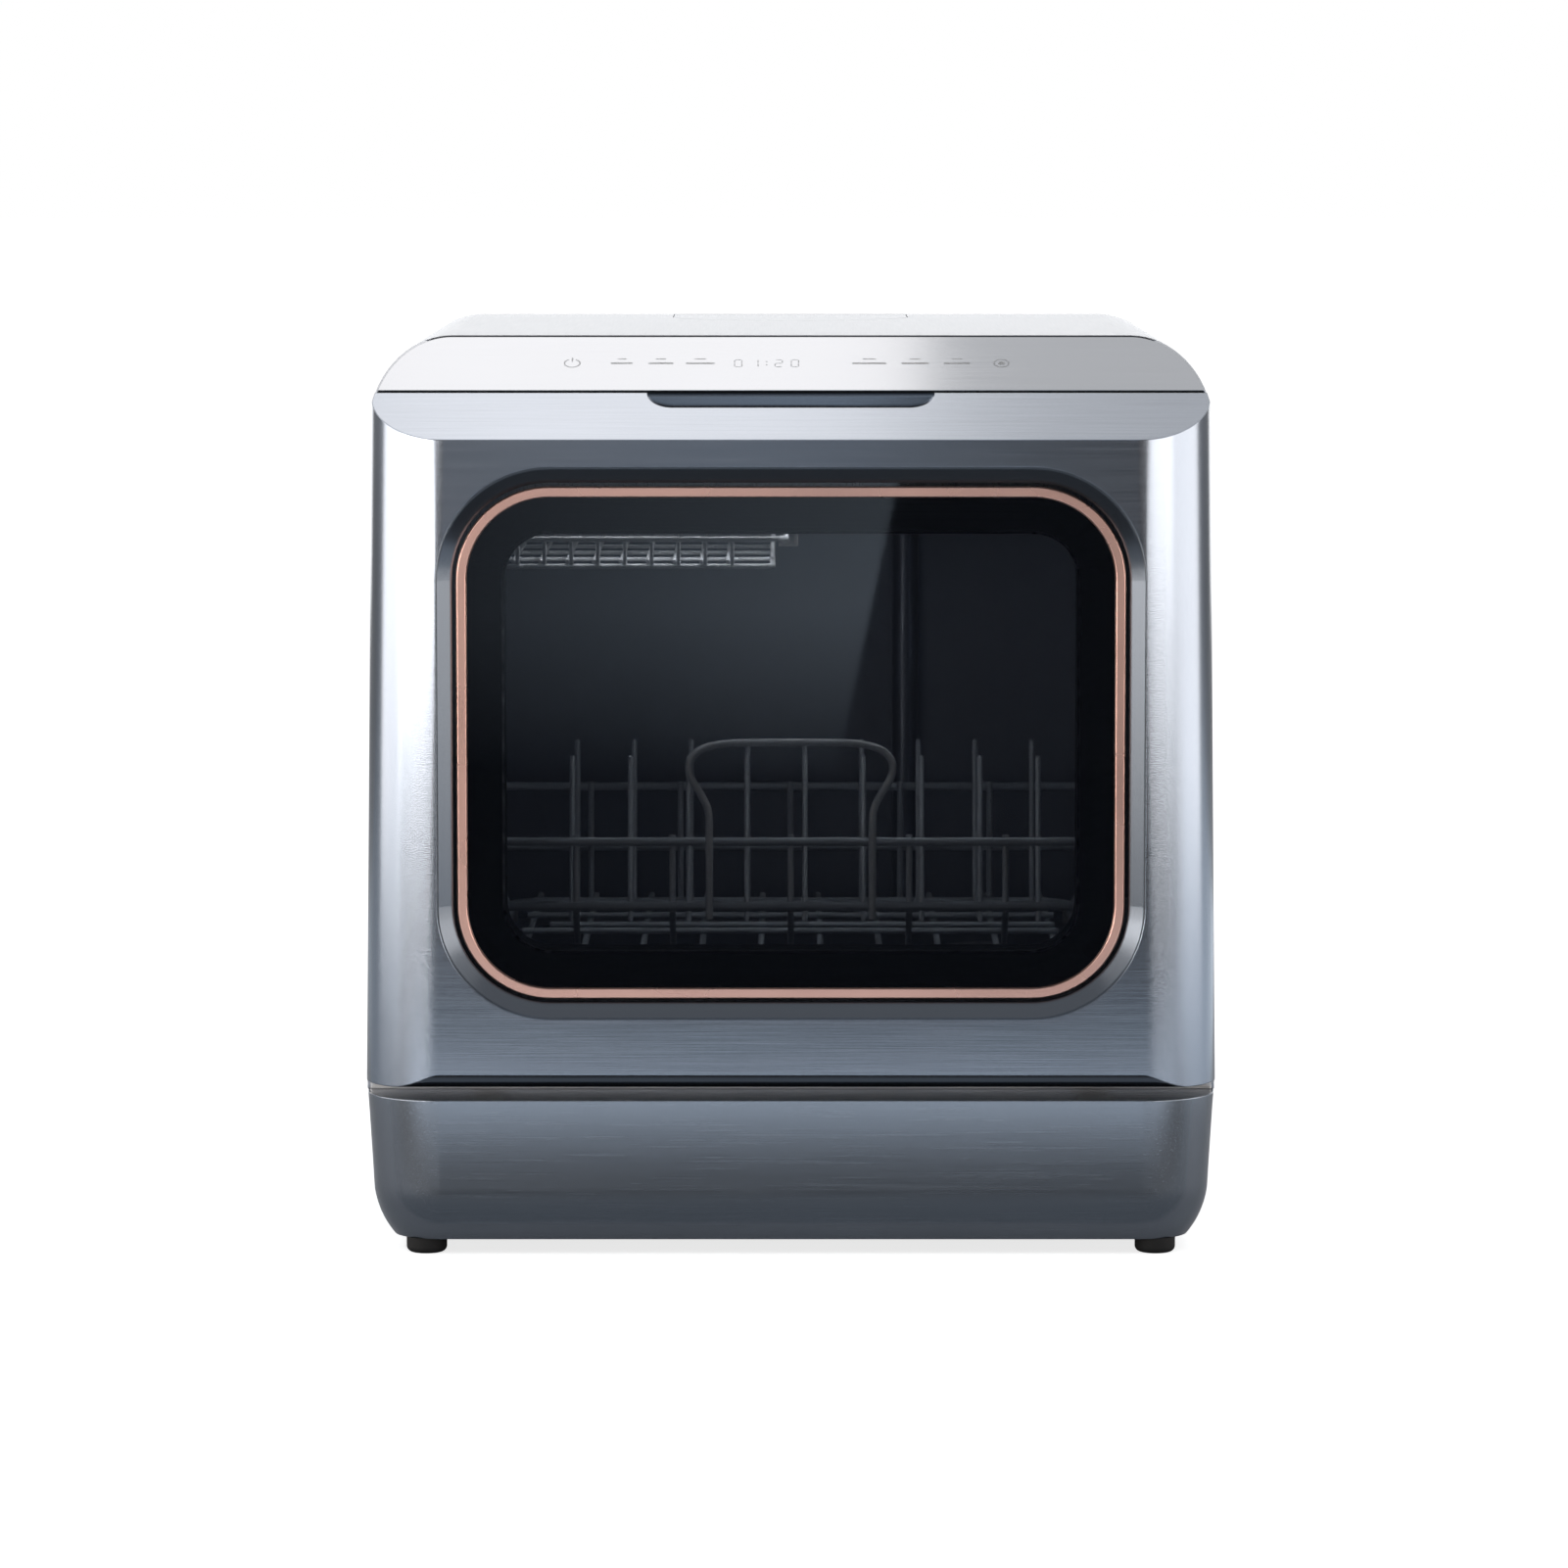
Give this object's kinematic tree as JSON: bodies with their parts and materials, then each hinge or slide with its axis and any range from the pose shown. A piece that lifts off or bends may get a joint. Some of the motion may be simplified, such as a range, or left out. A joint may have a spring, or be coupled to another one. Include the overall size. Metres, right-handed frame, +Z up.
{
  "type": "countertop dishwasher",
  "caption": "Countertop dishwasher with a drop-down window door, a sloped control face, a wire rack on wheels, a cutlery tray, spray arms and a tank filled through a top hatch.",
  "frame": {"origin": "on the floor under the middle of the case", "axes": "+Z up, the door faces -Y, +X is on the right of a person who faces the door"},
  "size_m": [0.42, 0.43, 0.45],
  "materials": {
    "steel_blue": "brushed slate blue",
    "wrap_grey": "satin slate grey",
    "fascia_blue": "brushed slate blue, lit",
    "base_dark": "satin dark slate",
    "bezel_grey": "satin grey",
    "copper": "polished rose metal",
    "glass_dark": "clear dark glass",
    "glass_clear": "clear glass",
    "black_plastic": "matt black",
    "dark_plastic": "matt dark grey",
    "grey_plastic": "matt grey",
    "steel": "brushed stainless steel",
    "zinc": "zinc-plated steel",
    "wire": "satin grey coated wire",
    "rubber": "black rubber",
    "tank": "milky translucent plastic",
    "board": "green circuit board",
    "blue_plastic": "blue plastic"
  },
  "bodies": {
    "cabinet": {"cabinet_wrap": "wrap_grey", "control_fascia": "fascia_blue", "control_board": "board", "base_shell": "base_dark", "base_pan": "dark_plastic", "foot_front_left": "rubber", "foot_front_right": "rubber", "foot_rear_left": "rubber", "foot_rear_right": "rubber", "rear_panel": "zinc", "rear_screws": "zinc", "front_frame": "steel", "tub": "steel", "tub_gasket": "rubber", "sump": "dark_plastic", "filter_plate": "steel", "spray_hub": "dark_plastic", "upper_feed_pipe": "steel", "wash_pump": "black_plastic", "drain_pump": "black_plastic", "heater": "steel", "water_tank": "tank", "fill_basin": "dark_plastic", "inlet_valve": "blue_plastic", "drain_spigot": "black_plastic", "cable_gland": "black_plastic", "power_board": "board", "hinge_bracket_left": "zinc", "hinge_bracket_right": "zinc", "hinge_pins": "zinc", "latch_housing": "black_plastic", "tray_rail_left": "steel", "tray_rail_right": "steel"},
    "door": {"door_front_panel": "steel_blue", "window_bezel": "bezel_grey", "trim_ring": "copper", "outer_glass": "glass_dark", "window_tunnel": "black_plastic", "inner_glass": "glass_clear", "door_inner_panel": "steel", "handle_cup": "black_plastic", "latch_hook": "zinc", "detergent_cup": "dark_plastic", "door_hinge_left": "zinc", "door_hinge_right": "zinc"},
    "detergent_lid_body": {"detergent_lid": "grey_plastic"},
    "rack": {"rack_rails": "wire", "rack_basket": "wire", "rack_tines": "wire", "rack_grip": "wire", "rack_axles": "zinc"},
    "tray": {"cutlery_tray": "wire"},
    "filter": {"filter_cup": "grey_plastic"},
    "lower_arm": {"spray_arm_lower": "grey_plastic"},
    "upper_arm": {"spray_arm_upper": "grey_plastic"},
    "hatch": {"fill_hatch": "wrap_grey"},
    "wheel_front_left": {"rack_wheel_front_left": "dark_plastic"},
    "wheel_front_right": {"rack_wheel_front_right": "dark_plastic"},
    "wheel_rear_left": {"rack_wheel_rear_left": "dark_plastic"},
    "wheel_rear_right": {"rack_wheel_rear_right": "dark_plastic"}
  },
  "joints": [
    {"name": "door_hinge", "type": "hinge", "parent": "cabinet", "child": "door", "pos_m": [0, -0.207, 0.0925], "axis": [1, 0, 0], "range_deg": [0, 90]},
    {"name": "detergent_lid_slide", "type": "slide", "parent": "door", "child": "detergent_lid_body", "axis": [0, 0, 1], "range_m": [0, 0.038]},
    {"name": "rack_slide", "type": "slide", "parent": "cabinet", "child": "rack", "axis": [0, -1, 0], "range_m": [0, 0.1451]},
    {"name": "tray_slide", "type": "slide", "parent": "cabinet", "child": "tray", "axis": [0, -1, 0], "range_m": [0, 0.1451]},
    {"name": "filter_turn", "type": "hinge", "parent": "cabinet", "child": "filter", "pos_m": [0.066, 0.052, 0.106], "axis": [0, 0, 1], "range_deg": [0, 60]},
    {"name": "lower_arm_spin", "type": "hinge", "parent": "cabinet", "child": "lower_arm", "pos_m": [0, -0.01, 0.118], "axis": [0, 0, 1], "continuous": true},
    {"name": "upper_arm_spin", "type": "hinge", "parent": "cabinet", "child": "upper_arm", "pos_m": [0.062, -0.01, 0.3585], "axis": [0, 0, 1], "continuous": true},
    {"name": "hatch_hinge", "type": "hinge", "parent": "cabinet", "child": "hatch", "pos_m": [0, 0.209, 0.448], "axis": [-1, 0, 0], "range_deg": [0, 95]},
    {"name": "wheel_front_left_roll", "type": "hinge", "parent": "rack", "child": "wheel_front_left", "pos_m": [-0.165, -0.0637, 0.1323], "axis": [1, 0, 0], "range_deg": [0, 1039]},
    {"name": "wheel_front_right_roll", "type": "hinge", "parent": "rack", "child": "wheel_front_right", "pos_m": [0.165, -0.0637, 0.1323], "axis": [1, 0, 0], "range_deg": [0, 1039]},
    {"name": "wheel_rear_left_roll", "type": "hinge", "parent": "rack", "child": "wheel_rear_left", "pos_m": [-0.165, 0.1013, 0.1323], "axis": [1, 0, 0], "range_deg": [0, 1039]},
    {"name": "wheel_rear_right_roll", "type": "hinge", "parent": "rack", "child": "wheel_rear_right", "pos_m": [0.165, 0.1013, 0.1323], "axis": [1, 0, 0], "range_deg": [0, 1039]}
  ],
  "couplings": [
    {"joint": "rack_slide", "follows": "door_hinge", "m_per_rad": 0.09231},
    {"joint": "tray_slide", "follows": "door_hinge", "m_per_rad": 0.09231},
    {"joint": "wheel_front_left_roll", "follows": "door_hinge", "ratio": 11.539},
    {"joint": "wheel_front_right_roll", "follows": "door_hinge", "ratio": 11.539},
    {"joint": "wheel_rear_left_roll", "follows": "door_hinge", "ratio": 11.539},
    {"joint": "wheel_rear_right_roll", "follows": "door_hinge", "ratio": 11.539}
  ]
}
